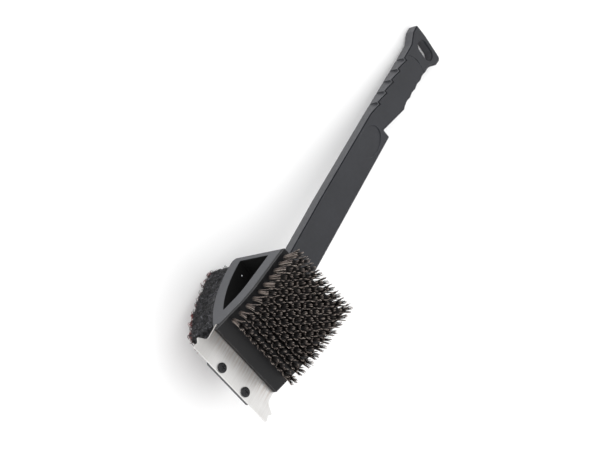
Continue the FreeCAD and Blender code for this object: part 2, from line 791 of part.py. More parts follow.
def make_handle_rear_shell(blank):
    hollow = inset_slab(handle_wall, -handle_half_thickness + handle_floor, rim_z + overcut)
    seat = inset_slab(rim_width, cover_bottom_z, rim_z + overcut)
    front_block = box(handle_x(front_block_length), handle_x(-overcut), -far, far, -far, cover_bottom_z)
    collar = hang_hole(hang_collar, -handle_half_thickness, cover_bottom_z)
    stiff = [front_block, collar]
    count = int((handle_length - last_rib_from_end) / rib_pitch)
    for index in range(count):
        x = handle_x(first_rib_from_head + index * rib_pitch)
        stiff.append(box(x, x + rib_thickness, -far, far, -far, cover_bottom_z))
    boss_radius = screw_head_diameter / 2 + boss_wall
    boss_height = handle_half_thickness + cover_bottom_z
    for x in cover_screw_x:
        stiff.append(cylinder(boss_radius, V(x, 0, -handle_half_thickness), V(0, 0, 1), boss_height))
    half = rib_thickness / 2
    long_rib = box(handle_end_x + last_rib_from_end, handle_x(0), -half, half, -far, cover_bottom_z)
    hollow = hollow.cut(fused(stiff + [long_rib]))
    shell = blank.cut(hollow).cut(seat)
    half = tenon_width / 2
    tenon = box(handle_x(tenon_root), handle_x(-tenon_length), -half, half, tenon_bottom, tenon_top)
    tip = [e for e in tenon.Edges if e.CenterOfMass.x > handle_x(-tenon_length) - touching]
    tenon = tenon.makeChamfer(tenon_bevel, tip)
    shell = fused([shell, tenon])
    shell = shell.cut(inset_slab(rim_width, cover_bottom_z, rim_z + overcut))
    shell = shell.cut(hang_hole(0, -far, far))
    for x in cover_screw_x:
        hole = cylinder(screw_diameter / 2 + screw_hole_gap, V(x, 0, -far), V(0, 0, 1), 2 * far)
        below = V(x, 0, -handle_half_thickness - overcut)
        sink = overcut + screw_head_height + cover_screw_sink
        head = cylinder(screw_head_diameter / 2 + fit_gap, below, V(0, 0, 1), sink)
        shell = shell.cut(hole).cut(head)
    for x, y in neck_screw_places:
        seat = V(x, y, neck_screw_seat)
        shell = shell.cut(cylinder(screw_diameter / 2, seat, V(0, 0, 1), neck_screw_length))
    return shell.removeSplitter()


def make_handle_front_cover():
    cover = inset_slab(rim_width + cover_gap, cover_bottom_z, handle_half_thickness)
    top = max(cover.Faces, key=lambda f: f.CenterOfMass.z)
    cover = cover.makeChamfer(cover_bevel, top.Edges)
    cover = cover.cut(hang_hole(0, -far, far))
    thumb = Part.Face(Part.Wire(Part.Ellipse(V(0, 0, 0), thumb_length / 2, thumb_width / 2).toShape()))
    thumb = thumb.extrude(V(0, 0, beyond))
    thumb.rotate(V(0, 0, 0), Y_AXIS, -thumb_tilt)
    thumb.translate(V(handle_end_x + thumb_from_end, thumb_offset, handle_half_thickness - thumb_depth / 2))
    cover = cover.cut(thumb)
    groove_x = handle_end_x + hang_hole_from_end + hang_hole_width / 2 + tail_groove_from_hole
    groove_y = hang_hole_offset + tail_groove_offset
    centre = V(groove_x + tail_groove_radius, groove_y, handle_half_thickness - tail_groove_depth)
    ring = cylinder(tail_groove_radius, centre, V(0, 0, 1), far)
    ring = ring.cut(cylinder(tail_groove_radius - tail_groove_width, centre, V(0, 0, 1), far))
    ring = ring.common(box(groove_x - overcut, groove_x + tail_groove_length, -far, far, -far, far))
    cover = cover.cut(ring)
    for x in cover_screw_x:
        base = V(x, 0, cover_bottom_z - overcut)
        cover = cover.cut(cylinder(screw_diameter / 2, base, V(0, 0, 1), cover_screw_tip() - base.z))
    return cover


def cover_screw_tip():
    """Height of the cover screws' points, kept under the handle's face."""
    return handle_half_thickness - cover_screw_skin


# ---------------------------------------------------------------- fasteners
def plain_screw(seat, way, length):
    return screw(seat, way, length, screw_diameter, screw_head_diameter, screw_head_height, screw_head_round)


def make_block_screws():
    places = [V(x, y, block_screw_seat(x)) for x, y in block_screw_places]
    return [plain_screw(place, V(0, 0, 1), block_screw_length) for place in places]


def make_neck_screws():
    places = [V(x, y, neck_screw_seat) for x, y in neck_screw_places]
    return [plain_screw(place, V(0, 0, 1), neck_screw_length) for place in places]


def make_pad_plate_screws():
    screws = []
    for angle in pad_screw_angles:
        for sign in (-1, 1):
            seat = pad_arc_point(angle, pad_screw_seat_radius, sign * pad_screw_y)
            screws.append(plain_screw(seat, pad_way(angle) * -1, pad_screw_length))
    return screws


def make_cover_screws():
    seat_z = -handle_half_thickness + screw_head_height + cover_screw_sink
    return [plain_screw(V(x, 0, seat_z), V(0, 0, 1), cover_screw_tip() - seat_z) for x in cover_screw_x]


def make_scraper_screws():
    screws = []
    for sign in (-1, 1):
        seat = V(scraper_screw_x, sign * scraper_screw_spacing / 2, 0)
        length = plate_thickness + tongue_thickness - scraper_screw_short
        screws.append(screw(seat, V(0, 0, -1), length, scraper_screw_diameter, scraper_screw_head,
                            scraper_screw_head_height, scraper_screw_head_round))
    return screws


# ---------------------------------------------------------------- the whole brush
def build():
    blank = handle_blank()
    pieces["handle_rear_shell"] = [make_handle_rear_shell(blank)]
    pieces["handle_front_cover"] = [make_handle_front_cover()]
    pieces["handle_cover_screws"] = make_cover_screws()
    pieces["handle_neck_screws"] = make_neck_screws()
    pieces["head_frame"] = [make_head_frame()]
    pieces["bristle_block"] = [make_bristle_block()]
    pieces["bristle_block_screws"] = make_block_screws()
    anchors = []
    for row, (base, way) in enumerate(tuft_rows_placed()):
        name = "bristle_row_%02d" % (row + 1)
        pieces[name] = [make_tuft(base, way, tuft_y(i)) for i in range(tufts_across)]
        anchors += [make_anchor(base, way, tuft_y(i)) for i in range(tufts_across)]
    pieces["tuft_anchors"] = anchors
    pieces["pad_plate"] = [make_pad_plate()]
    pieces["pad_plate_screws"] = make_pad_plate_screws()
    pieces["pad_hook_sheet"] = [make_hook_sheet()]
    pieces["scouring_pad"] = [make_scouring_pad()]
    pieces["scraper_plate"] = [make_scraper_plate()]
    pieces["scraper_screws"] = make_scraper_screws()


def laid_down():
    """The placement that lays the brush, bristles up, on its pad's back edge and its hang end."""
    pad_foot = pad_side_point(
        -head_length + pad_back_inset + pad_step, pad_side_radius + fit_gap + pad_thickness
    )
    hang_foot = V(handle_end_x, 0, -handle_half_thickness)
    rise = hang_foot.z - pad_foot.z
    run = pad_foot.x - hang_foot.x
    return FreeCAD.Placement(V(0, 0, 0), FreeCAD.Rotation(Y_AXIS, -math.degrees(math.atan2(rise, run))))


def write():
    os.makedirs("parts", exist_ok=True)
    turn = laid_down()
    turned = {}
    bounds = FreeCAD.BoundBox()
    for name, solids in pieces.items():
        group = Part.makeCompound(solids) if len(solids) > 1 else solids[0]
        group = group.copy()
        group.Placement = turn.multiply(group.Placement)
        turned[name] = group
        bounds.add(group.optimalBoundingBox(True, False))
    shift = V(-bounds.Center.x, -bounds.Center.y, -bounds.ZMin)
    for name, group in turned.items():
        group.translate(shift)
        group.exportStep("parts/" + name + ".step")
    print("size", round(bounds.XLength, 2), round(bounds.YLength, 2), round(bounds.ZLength, 2))
    print("tilt", round(math.degrees(turn.Rotation.Angle), 4), "shift", [round(c, 3) for c in shift])
    for name, solids in pieces.items():
        volume = sum(s.Volume for s in solids)
        print(name, len(solids), "pieces", round(volume, 1), all(s.isValid() for s in solids))


build()
write()
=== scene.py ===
import json
import math
import random

import bmesh
import bpy
import numpy as np
from mathutils import Matrix, Vector, noise


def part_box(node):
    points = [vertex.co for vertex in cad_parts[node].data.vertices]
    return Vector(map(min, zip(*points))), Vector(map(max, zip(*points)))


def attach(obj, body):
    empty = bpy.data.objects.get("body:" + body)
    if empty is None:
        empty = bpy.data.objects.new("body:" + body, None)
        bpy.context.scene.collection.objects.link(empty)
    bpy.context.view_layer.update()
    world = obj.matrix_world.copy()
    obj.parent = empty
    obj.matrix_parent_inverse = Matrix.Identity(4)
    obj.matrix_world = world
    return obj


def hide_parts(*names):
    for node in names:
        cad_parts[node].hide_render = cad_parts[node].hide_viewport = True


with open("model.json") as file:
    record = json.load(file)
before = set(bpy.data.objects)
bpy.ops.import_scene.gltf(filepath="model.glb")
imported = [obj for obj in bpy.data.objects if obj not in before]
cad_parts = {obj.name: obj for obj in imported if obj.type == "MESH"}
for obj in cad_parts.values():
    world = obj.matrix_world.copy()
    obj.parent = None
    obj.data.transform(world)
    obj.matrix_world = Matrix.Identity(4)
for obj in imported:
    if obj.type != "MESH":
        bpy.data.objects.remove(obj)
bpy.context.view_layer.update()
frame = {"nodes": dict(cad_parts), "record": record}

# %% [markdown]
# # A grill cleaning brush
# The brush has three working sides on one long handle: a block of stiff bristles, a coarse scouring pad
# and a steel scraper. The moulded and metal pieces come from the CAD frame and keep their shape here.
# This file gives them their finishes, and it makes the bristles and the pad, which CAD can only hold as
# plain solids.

nodes = frame["nodes"]
bristle_rows = sorted(name for name in nodes if name.startswith("bristle_row_"))

# %% [markdown]
# The brush rests on the back edge of its pad and on its hang end, so its own axes are tilted from the
# floor's. The handle's back is a mount in the record, and its axis gives that tilt. With the tilt known,
# a point can be given the easy way: forward along the handle, across, and up through the bristles.

# %% The brush's own axes
handle_back = next(m for m in frame["record"]["mounts"] if m["name"] == "handle_back")
brush_up = -Vector(handle_back["axis"]).normalized()
brush_forward = Vector((0, 1, 0)).cross(brush_up).normalized()
plate_high = Vector(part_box("scraper_plate")[1])
print("up through the bristles", [round(c, 4) for c in brush_up])
print("forward", [round(c, 4) for c in brush_forward])

# %% [markdown]
# The camera looks down on the brush from its near side, with the handle running away to the upper right.
# A camera that is rolled almost a quarter turn does this. It is built from where it looks, how high it
# stands and how far it rolls, so each can be changed alone.

# %% Camera
def aim_camera(target, azimuth, elevation, roll, distance, lens):
    """Makes a camera that looks at target from azimuth and elevation, rolled about its own view."""
    a, e, r = (math.radians(v) for v in (azimuth, elevation, roll))
    out = Vector((math.sin(a) * math.cos(e), -math.cos(a) * math.cos(e), math.sin(e)))
    side = (-out).cross(Vector((0, 0, 1))).normalized()
    top = side.cross(-out)
    right = side * math.cos(r) + top * math.sin(r)
    up = out.cross(right)
    data = bpy.data.cameras.new("camera")
    data.lens = lens
    data.clip_start = 0.05
    camera = bpy.data.objects.new("camera", data)
    turned = Matrix((right, up, out)).transposed().to_4x4()
    camera.matrix_world = Matrix.Translation(target + out * distance) @ turned
    bpy.context.scene.collection.objects.link(camera)
    return camera


camera = aim_camera(Vector((0.04681, -0.01523, 0.04041)), 45.38, 51.30, 86.13, 1.7836, 114)
bpy.context.scene.camera = camera
print("camera at", [round(c, 3) for c in camera.matrix_world.translation])

# %% [markdown]
# A plain pale floor and soft light keep the eye on the brush. One wide lamp stands over the near side,
# where the end ring and the handle's narrow side are bright. A second, behind and above, stands where the
# scraper does not mirror it, so the steel keeps its grey.

# %% Floor and lamps
def make_floor(size):
    work = bmesh.new()
    bmesh.ops.create_grid(work, x_segments=1, y_segments=1, size=size / 2)
    mesh = bpy.data.meshes.new("floor")
    work.to_mesh(mesh)
    work.free()
    floor = bpy.data.objects.new("floor", mesh)
    bpy.context.scene.collection.objects.link(floor)
    return floor


def lamp(name, place, target, size, watts, colour=(1, 1, 1)):
    data = bpy.data.lights.new(name, "AREA")
    data.shape = "DISK"
    data.size = size
    data.energy = watts
    data.color = colour
    light = bpy.data.objects.new(name, data)
    turned = (target - place).to_track_quat("-Z", "Y").to_matrix().to_4x4()
    light.matrix_world = Matrix.Translation(place) @ turned
    bpy.context.scene.collection.objects.link(light)
    return light


floor = make_floor(14)
middle = Vector((0.05, 0, 0.05))
lamp("near_side", Vector((0.45, -1.5, 0.95)), middle, 1.4, 7)
lamp("overhead", Vector((0.60, 0.80, 1.7)), middle, 1.8, 5)
world = bpy.data.worlds.new("studio")
world.use_nodes = True
world.node_tree.nodes["Background"].inputs["Color"].default_value = (1, 1, 1, 1)
world.node_tree.nodes["Background"].inputs["Strength"].default_value = 1.18
bpy.context.scene.world = world
bpy.context.scene.view_settings.view_transform = "Standard"

# %% [markdown]
# A finish is a small graph of nodes. Written as node calls it is hard to read, so a socket is wrapped in
# a class that understands plus, minus and times. Then a worn edge is `plastic * (1 - edge)` instead of
# three Math nodes.

# %% A socket that does arithmetic
class Field:
    """A value that varies over a surface: an output socket, with arithmetic."""

    def __init__(self, tree, socket):
        self.tree = tree
        self.socket = socket

    def calculate(self, operation, *values):
        node = self.tree.nodes.new("ShaderNodeMath")
        node.operation = operation
        for slot, value in zip(node.inputs, values):
            if isinstance(value, Field):
                self.tree.links.new(value.socket, slot)
            else:
                slot.default_value = value
        return Field(self.tree, node.outputs[0])

    def __add__(self, other):
        return self.calculate("ADD", self, other)

    def __sub__(self, other):
        return self.calculate("SUBTRACT", self, other)

    def __mul__(self, other):
        return self.calculate("MULTIPLY", self, other)

    def __rsub__(self, other):
        return self.calculate("SUBTRACT", other, self)

    __radd__ = __add__
    __rmul__ = __mul__

    def clamped(self):
        return self.calculate("MINIMUM", self.calculate("MAXIMUM", self, 0.0), 1.0)


class Finish:
    """A material under construction, with short ways to add its nodes."""

    def __init__(self, name):
        self.material = bpy.data.materials.new(name)
        self.material.use_nodes = True
        self.tree = self.material.node_tree
        self.shader = self.tree.nodes["Principled BSDF"]
        self.place = self.node("ShaderNodeTexCoord", output="Object")

    def node(self, kind, settings=None, inputs=None, output=0):
        """Adds any node: its settings first, then the values or links of its sockets."""
        made = self.tree.nodes.new(kind)
        for key, value in (settings or {}).items():
            if key == "stops":
                for i, (position, colour) in enumerate(value):
                    stops = made.color_ramp.elements
                    stop = stops[i] if i < 2 else stops.new(position)
                    stop.position = position
                    stop.color = (*colour, 1)
            else:
                setattr(made, key, value)
        for key, value in (inputs or {}).items():
            if isinstance(value, Field):
                self.tree.links.new(value.socket, made.inputs[key])
            else:
                made.inputs[key].default_value = value
        return Field(self.tree, made.outputs[output])

    def mapped(self, size, turn=(0, 0, 0)):
        """The place divided by a size along each axis, after those axes are turned."""
        inputs = {"Vector": self.place, "Scale": size, "Rotation": turn}
        return self.node("ShaderNodeMapping", {"vector_type": "TEXTURE"}, inputs)

    def noise(self, size, detail=3, rough=0.55, stretch=(1, 1, 1), turn=(0, 0, 0)):
        """Soft random blobs about this size in metres, stretched along the axes by these factors."""
        at = self.mapped([size * s for s in stretch], turn)
        inputs = {"Vector": at, "Scale": 1, "Detail": detail, "Roughness": rough}
        return self.node("ShaderNodeTexNoise", inputs=inputs)

    def between(self, value, low, high):
        """0 below low and 1 above high, with a smooth step between them."""
        settings = {"interpolation_type": "SMOOTHSTEP"}
        inputs = {"Value": value, "From Min": low, "From Max": high}
        return self.node("ShaderNodeMapRange", settings, inputs)

    def mix(self, share, first, second):
        """Two colours mixed by a share from 0 to 1."""
        first, second = ((*c, 1) if isinstance(c, tuple) else c for c in (first, second))
        return self.node("ShaderNodeMix", {"data_type": "RGBA"}, {0: share, 6: first, 7: second}, output=2)

    def along(self, way):
        """Distance along a direction, in metres."""
        inputs = {0: self.place, 1: tuple(way)}
        return self.node("ShaderNodeVectorMath", {"operation": "DOT_PRODUCT"}, inputs, "Value")

    def edges(self, radius):
        """1 on the corners of a piece and 0 on its flats, from how far a rounded normal leans away."""
        rounded = self.node("ShaderNodeBevel", {"samples": 6}, {"Radius": radius})
        flat = self.node("ShaderNodeNewGeometry", output="Normal")
        same = self.node("ShaderNodeVectorMath", {"operation": "DOT_PRODUCT"}, {0: rounded, 1: flat}, "Value")
        return self.between(1 - same, 0.01, 0.16)

    def bump(self, height, depth, strength=1.0):
        inputs = {"Height": height, "Distance": depth, "Strength": strength}
        return self.node("ShaderNodeBump", inputs=inputs)

    def done(self, **sockets):
        """Sets or links the shader's sockets, such as base_color or roughness."""
        for key, value in sockets.items():
            slot = self.shader.inputs[key.replace("_", " ").title().replace("Ior", "IOR")]
            if isinstance(value, Field):
                self.tree.links.new(value.socket, slot)
            else:
                slot.default_value = value
        return self.material


print("Field and Finish are ready")

# %% [markdown]
# The handle and the head are moulded from black and charcoal plastic with a fine spark-eroded grain. Real
# moulded plastic isn't one colour: it is a little cloudy, its corners are rubbed paler and smoother, and
# a used or handled part carries faint scratches and dust. The paler corners also carry a painted highlight,
# such as the thin light line along the block's edge. All of that is built from noise at several sizes, and
# one function makes every plastic in the brush, because only the colour and the wear differ.

# %% Moulded plastic
def moulded_plastic(name, colour, pale, grain=0.00035, roughness=0.42, scratches=0.5):
    f = Finish(name)
    cloud = f.noise(0.035, detail=4)
    mottle = f.noise(0.004, detail=3)
    fine = f.noise(grain, detail=2, rough=0.6)
    # Paler, smoother corners: real wear, and also a painted edge highlight.
    wear_and_edge_highlight = f.edges(0.0007) * f.between(f.noise(0.009, detail=4), 0.30, 0.62)
    scratch_a = f.noise(0.0011, detail=2, stretch=(34, 1, 1), turn=(0, 0, 0.21))
    scratch_b = f.noise(0.0009, detail=2, stretch=(1, 26, 1), turn=(0, 0, 0.5))
    scratched = (f.between(scratch_a, 0.70, 0.76) + f.between(scratch_b, 0.71, 0.77)).clamped()
    scratched = scratched * f.between(cloud, 0.42, 0.6) * scratches
    tone = (cloud - 0.5) * 0.9 + (mottle - 0.5) * 0.55 + (fine - 0.5) * 0.4 + 0.5
    dark = tuple(c * 0.68 for c in colour)
    light = tuple(c * 1.36 for c in colour)
    base = f.mix(tone.clamped(), dark, light)
    base = f.mix((wear_and_edge_highlight * 0.55 + scratched * 0.22).clamped(), base, pale)
    rough = (cloud - 0.5) * 0.16 + (mottle - 0.5) * 0.12 + roughness - wear_and_edge_highlight * 0.10 + scratched * 0.1
    height = fine + mottle * 0.6 - scratched * 1.2
    grained = f.bump(height, 0.00006, 0.55)
    return f.done(base_color=base, roughness=rough, normal=grained, specular_ior_level=0.25)


# Painted light and shade: the rear shell is a paler grey than the front cover, standing for the lit narrow
# side of the handle and its shaded wide face.
shell_plastic = moulded_plastic("shell_plastic", (0.062, 0.063, 0.069), (0.17, 0.175, 0.19))
cover_plastic = moulded_plastic("cover_plastic", (0.023, 0.024, 0.028), (0.11, 0.115, 0.13))
block_plastic = moulded_plastic("block_plastic", (0.0035, 0.0034, 0.0042), (0.17, 0.17, 0.18), roughness=0.46)
print("plastics made")

# %% [markdown]
# The head is the same plastic as the handle, but a little way inside the end rings its hollow is painted
# near-black and rougher: painted shade for the deep hollow. Distance from the middle, across the brush,
# says how deep a point lies in the hollow.

# %% Plastic of the hollow head
def head_plastic():
    f = Finish("head_plastic")
    cloud = f.noise(0.03, detail=4)
    mottle = f.noise(0.004, detail=3)
    fine = f.noise(0.00035, detail=2, rough=0.6)
    # Paler, smoother corners: real wear, and also a painted edge highlight.
    wear_and_edge_highlight = f.edges(0.0007) * f.between(f.noise(0.008, detail=4), 0.30, 0.62)
    across = f.along((0, 1, 0))
    half_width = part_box("head_frame")[1][1]
    depth = half_width - across.calculate("ABSOLUTE", across)
    behind_front = f.along(brush_forward) - plate_high.dot(brush_forward)
    inside = f.between(behind_front, -0.1175, -0.1155) * (1 - f.between(behind_front, -0.041, -0.037))
    # Painted shade: the hollow goes near-black a little way inside the end rings.
    painted_hollow_shade = f.between(depth + (mottle - 0.5) * 0.0006, 0.0002, 0.0010) * inside
    tone = (cloud - 0.5) * 0.8 + (mottle - 0.5) * 0.5 + (fine - 0.5) * 0.4 + 0.5
    base = f.mix(tone.clamped(), (0.052, 0.053, 0.059), (0.080, 0.082, 0.089))
    base = f.mix((wear_and_edge_highlight * 0.55).clamped(), base, (0.22, 0.225, 0.24))
    base = f.mix(painted_hollow_shade, base, f.mix(cloud, (0.0010, 0.0009, 0.0010), (0.003, 0.003, 0.003)))
    rough = (cloud - 0.5) * 0.16 + (mottle - 0.5) * 0.12 + 0.44 + painted_hollow_shade * 0.5
    height = fine + mottle * 0.6
    grained = f.bump(height, 0.00006, 0.55)
    return f.done(base_color=base, roughness=rough, normal=grained, specular_ior_level=0.25)


hollow_plastic = head_plastic()
print("head plastic", hollow_plastic.name)

# %% [markdown]
# The scraper is stamped from stainless strip. Its face keeps the fine straight lines of the rolling and
# brushing, which run from the head out to its cutting edge. A thin brown tint near the head is a painted
# reflection of the bristles, the near ear is painted darker as a painted reflection of the dark pad, and the
# cut edges carry a painted highlight. Very long, thin noise gives the lines, and it drives roughness and
# bump so they also catch the light.

# %% Scraper steel
def brushed_steel():
    f = Finish("scraper_steel")
    turn = (0, -math.atan2(brush_forward.z, brush_forward.x), 0)
    lines = f.noise(0.00022, detail=3, stretch=(160, 1, 1), turn=turn)
    bands = f.noise(0.0026, detail=2, stretch=(14, 1, 1), turn=turn)
    cloud = f.noise(0.012, detail=4)
    from_front = f.along(brush_forward) * -1 + plate_high.dot(brush_forward)
    near_head = f.between(from_front, 0.008, 0.027)
    # Painted reflection: brown streaks of the bristles mirrored in the steel near the head.
    painted_bristle_reflection = near_head * f.between(bands, 0.44, 0.58)
    edge = f.edges(0.0005)
    tone = ((lines - 0.5) * 1.1 + (cloud - 0.5) * 0.5 + 0.5).clamped()
    base = f.mix(tone, (0.54, 0.532, 0.522), (0.78, 0.77, 0.758))
    # Painted reflection: the near ear is darker, as the dark pad mirrored in it.
    shade = f.between(f.along((0, -1, 0)), 0.022, 0.046)
    base = f.mix(shade * 0.6, base, (0.42, 0.41, 0.40))
    base = f.mix(painted_bristle_reflection * 0.45, base, (0.46, 0.38, 0.33))
    # Painted highlight: the cut edges are near-white.
    base = f.mix(edge * 0.6, base, (0.93, 0.92, 0.90))
    rough = (lines - 0.5) * 0.22 + (cloud - 0.5) * 0.12 + 0.36 + painted_bristle_reflection * 0.12 - edge * 0.06
    return f.done(base_color=base, metallic=0.85, roughness=rough, normal=f.bump(lines, 0.00002, 0.6))


strip_steel = brushed_steel()
print("steel", strip_steel.name)

# %% [markdown]
# The two scraper screws are black-finished steel, and the hidden ones are zinc plated. The bristle
# anchors are cut from thin flat wire, and the pad is held by a sheet of small nylon hooks. Each is small,
# so one plated finish with cloudy colour and bright corners serves the metal, and a fine lattice of bumps
# serves the hooks.

# %% Screws, anchor wire and hook sheet
def plated(name, colour, bright, metallic, roughness):
    f = Finish(name)
    cloud = f.noise(0.0022, detail=4)
    fine = f.noise(0.0003, detail=2)
    turned = f.noise(0.00025, detail=2, stretch=(12, 1, 1))
    edge = f.edges(0.00035) * f.between(cloud, 0.32, 0.6)
    tone = ((cloud - 0.5) * 0.9 + (fine - 0.5) * 0.5 + 0.5).clamped()
    base = f.mix(tone, tuple(c * 0.72 for c in colour), tuple(min(c * 1.25, 1) for c in colour))
    base = f.mix(edge * 0.7, base, bright)
    rough = (cloud - 0.5) * 0.2 + (turned - 0.5) * 0.12 + roughness - edge * 0.1
    height = fine * 0.6 + turned * 0.4
    return f.done(base_color=base, metallic=metallic, roughness=rough, normal=f.bump(height, 0.00002, 0.5))


hook_spacing = 0.0014


def hook_nylon():
    f = Finish("hook_nylon")
    cloud = f.noise(0.01, detail=3)
    lattice = f.mapped((hook_spacing, hook_spacing, hook_spacing))
    hooks = f.node("ShaderNodeTexVoronoi", {"feature": "F1"}, {"Vector": lattice, "Scale": 1}, "Distance")
    # Painted shade: the sheet is dark between the hooks and paler on their heads.
    base = f.mix(f.between(hooks, 0.2, 0.8), (0.09, 0.09, 0.09), (0.012, 0.012, 0.013))
    base = f.mix(cloud * 0.4, base, (0.05, 0.048, 0.045))
    rough = (cloud - 0.5) * 0.2 + 0.55
    return f.done(base_color=base, roughness=rough, normal=f.bump(1 - hooks, 0.0004, 0.8))


finishes = {
    "handle_rear_shell": shell_plastic,
    "handle_front_cover": cover_plastic,
    "head_frame": hollow_plastic,
    "bristle_block": block_plastic,
    "pad_plate": block_plastic,
    "pad_hook_sheet": hook_nylon(),
    "scraper_plate": strip_steel,
    "scraper_screws": plated("black_screws", (0.018, 0.018, 0.020), (0.16, 0.16, 0.17), 0.6, 0.40),
    "tuft_anchors": plated("anchor_wire", (0.42, 0.40, 0.36), (0.7, 0.69, 0.66), 1.0, 0.35),
}
zinc = plated("zinc_screws", (0.50, 0.51, 0.53), (0.8, 0.8, 0.8), 1.0, 0.33)
for name in ("handle_cover_screws", "handle_neck_screws", "bristle_block_screws", "pad_plate_screws"):
    finishes[name] = zinc
for name, material in finishes.items():
    mesh = nodes[name].data
    for slot in range(len(mesh.materials)):
        mesh.materials[slot] = material
print("finished CAD nodes", len(finishes))

# %% [markdown]
# ## Bristles
# Each tuft is a bunch of crimped nylon filaments, folded over a wire and driven into a hole. They stand
# close together at the block and splay toward their cut ends, in four clumps around an open middle, so a
# tuft seen from above looks like a small crown whose points meet those of its neighbours. Hair could do
# this, but hair is lost on export, so the filaments are real tubes. A few different tufts are made once,
# and every hole gets one of them, a quarter turn or so apart.

# %% One filament
filament_sides = 5
filament_cuts = 4
filament_radius = 0.00026
filament_wave = 0.00022
tuft_half_width = 0.0031
tuft_slice = 0.0032


def straight_filament(length):
    """A closed thin rod along Z with rings to bend it at."""
    work = bmesh.new()
    bmesh.ops.create_cone(
        work, cap_ends=True, segments=filament_sides, radius1=filament_radius, radius2=filament_radius * 0.85,
        depth=length, matrix=Matrix.Translation((0, 0, length / 2)),
    )
    long_edges = [e for e in work.edges if abs(e.verts[0].co.z - e.verts[1].co.z) > length / 2]
    bmesh.ops.subdivide_edges(work, edges=long_edges, cuts=filament_cuts, use_grid_fill=True)
    mesh = bpy.data.meshes.new("filament")
    work.to_mesh(mesh)
    work.free()
    return mesh


def tuft_places(name, tufts=9):
    """(foot of each tuft, the way it points, its length) from the frame's plain cones."""
    points = np.array([v.co[:] for v in nodes[name].data.vertices])
    low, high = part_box(name)
    middles = np.linspace(low[1] + tuft_half_width, high[1] - tuft_half_width, tufts)
    groups = [points[np.abs(points[:, 1] - y) < tuft_slice] for y in middles]
    first = groups[0] - groups[0].mean(axis=0)
    way = np.linalg.svd(first, full_matrices=False)[2][0]
    way = way if way[2] > 0 else -way
    way[1] = 0.0
    way = way / np.linalg.norm(way)
    places = []
    for group in groups:
        reach = group @ way
        foot = group[reach < reach.min() + 1e-5]
        foot = (foot.min(axis=0) + foot.max(axis=0)) / 2
        places.append(Vector(foot))
    return places, Vector(way), float(reach.max() - reach.min())


feet, way, tuft_length = tuft_places(bristle_rows[0])
filament = straight_filament(tuft_length)
print("tuft length", round(tuft_length, 4), "filament faces", len(filament.polygons))

# %% A few different tufts
filaments_per_tuft = 64
root_radius = 0.0020
tip_radius = 0.0042
crown_depth = 0.0050


def make_tuft(seed, length):
    """One bunch of filaments standing on Z = 0, splayed in clumps at the top."""
    dice = random.Random(seed)
    clumps = 4
    phase = math.pi / 4 + dice.uniform(-0.15, 0.15)
    work = bmesh.new()
    height_layer = work.verts.layers.float.new("height")
    tone_layer = work.verts.layers.float.new("tone")
    rim_layer = work.verts.layers.float.new("rim")
    for k in range(filaments_per_tuft):
        share = ((k + 0.5) / filaments_per_tuft) ** 0.36
        angle = k * math.pi * (3 - math.sqrt(5)) + dice.uniform(-0.2, 0.2)
        nearest = round((angle - phase) * clumps / (2 * math.pi)) * 2 * math.pi / clumps + phase
        tip_angle = angle + (nearest - angle) * 0.42 * share + dice.uniform(-0.12, 0.12)
        tip_share = 0.30 + 0.70 * share + dice.uniform(-0.08, 0.07)
        foot = Vector((math.cos(angle), math.sin(angle), 0)) * root_radius * share
        tip = Vector((math.cos(tip_angle), math.sin(tip_angle), 0)) * tip_radius * tip_share
        stretch = 1 + dice.uniform(-0.03, 0.02) - crown_depth / length * (1 - share ** 2)
        wave = Vector((dice.uniform(-1, 1), dice.uniform(-1, 1), 0)) * filament_wave
        waves = dice.uniform(2.2, 3.4)
        tone = dice.random()
        before = len(work.verts)
        work.from_mesh(filament)
        work.verts.ensure_lookup_table()
        for vertex in work.verts[before:]:
            t = vertex.co.z / length
            bend = max(0.0, (t - 0.25) / 0.75) ** 1.7
            vertex.co.x += foot.x + (tip.x - foot.x) * bend + wave.x * math.sin(waves * 2 * math.pi * t) * t
            vertex.co.y += foot.y + (tip.y - foot.y) * bend + wave.y * math.sin(waves * 2 * math.pi * t) * t
            vertex.co.z *= stretch
            vertex[height_layer] = t
            vertex[tone_layer] = tone
            vertex[rim_layer] = share
    mesh = bpy.data.meshes.new("tuft")
    work.to_mesh(mesh)
    work.free()
    return mesh


tufts = [make_tuft(seed, tuft_length) for seed in range(7)]
print("tufts", len(tufts), "faces in one", len(tufts[0].polygons))

# %% [markdown]
# Nylon filament is translucent brown-grey. Its colour here is mostly painted light and shade: down in the
# block and in the middle of each tuft it is painted near-black as painted shade, and the outer filaments of
# each tuft are painted pale near their frayed cut ends as painted light. The outermost columns are painted
# pale from low down, as painted light on their open sides. The height along each filament and a tone of its
# own were stored on its points, so the colour can follow the filament wherever it leans.

